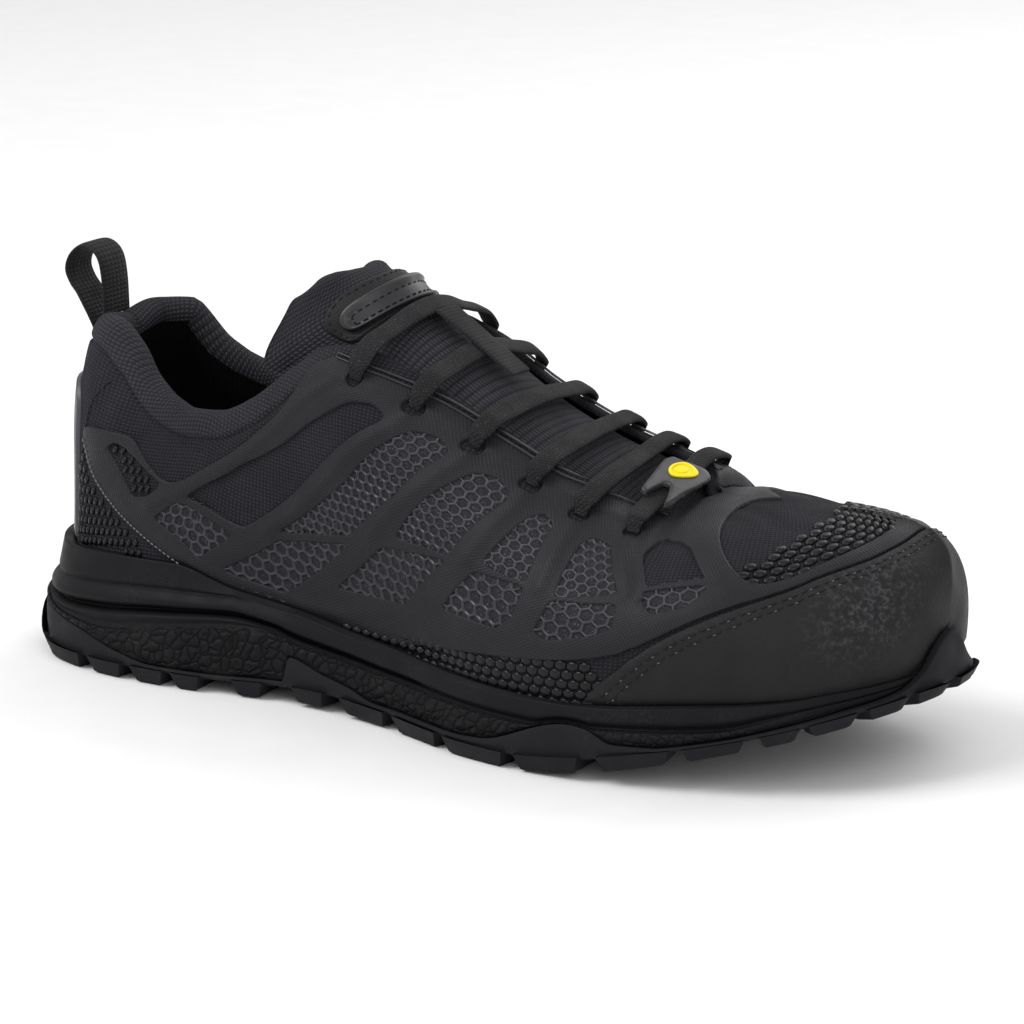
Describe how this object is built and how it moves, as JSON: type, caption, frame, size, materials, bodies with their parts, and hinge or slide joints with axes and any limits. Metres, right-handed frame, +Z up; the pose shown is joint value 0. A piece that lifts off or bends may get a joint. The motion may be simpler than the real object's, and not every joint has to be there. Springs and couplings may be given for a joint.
{
  "type": "safety sneaker",
  "caption": "Low black right shoe with toe cap, fused film over mesh, padded collar and tongue, bar lacing, two-layer lugged sole and heel pull loop.",
  "frame": {"origin": "on the ground under the middle of the heel, on the flat tread there", "axes": "+X towards the toe, +Z up, +Y towards the inner (medial) side of the right foot"},
  "size_m": [0.3011, 0.1123, 0.1255],
  "materials": {
    "rubber": "matte, moulded",
    "foam": "satin moulded foam",
    "lining": "brushed textile",
    "knit": "knitted mesh",
    "film": "fused film with a fine weave",
    "coated_leather": "grained, lightly scuffed",
    "reflective": "dull reflective tape",
    "plastic": "moulded",
    "webbing": "woven",
    "emblem": "moulded yellow"
  },
  "bodies": {
    "root": {"cage": "film", "heel_strip": "reflective", "insole": "lining", "lace_bar_1": "webbing", "lace_bar_2": "webbing", "lace_bar_3": "webbing", "lace_bar_4": "webbing", "lace_bar_5": "webbing", "lace_bar_6": "webbing", "lace_keeper": "webbing", "lace_tag": "plastic", "midsole": "foam", "outsole": "rubber", "pull_loop": "webbing", "tag_emblem": "emblem", "toe_cap": "coated_leather", "tongue": "knit", "tongue_badge": "plastic", "tongue_patch": "coated_leather", "upper": "knit"}
  },
  "joints": []
}
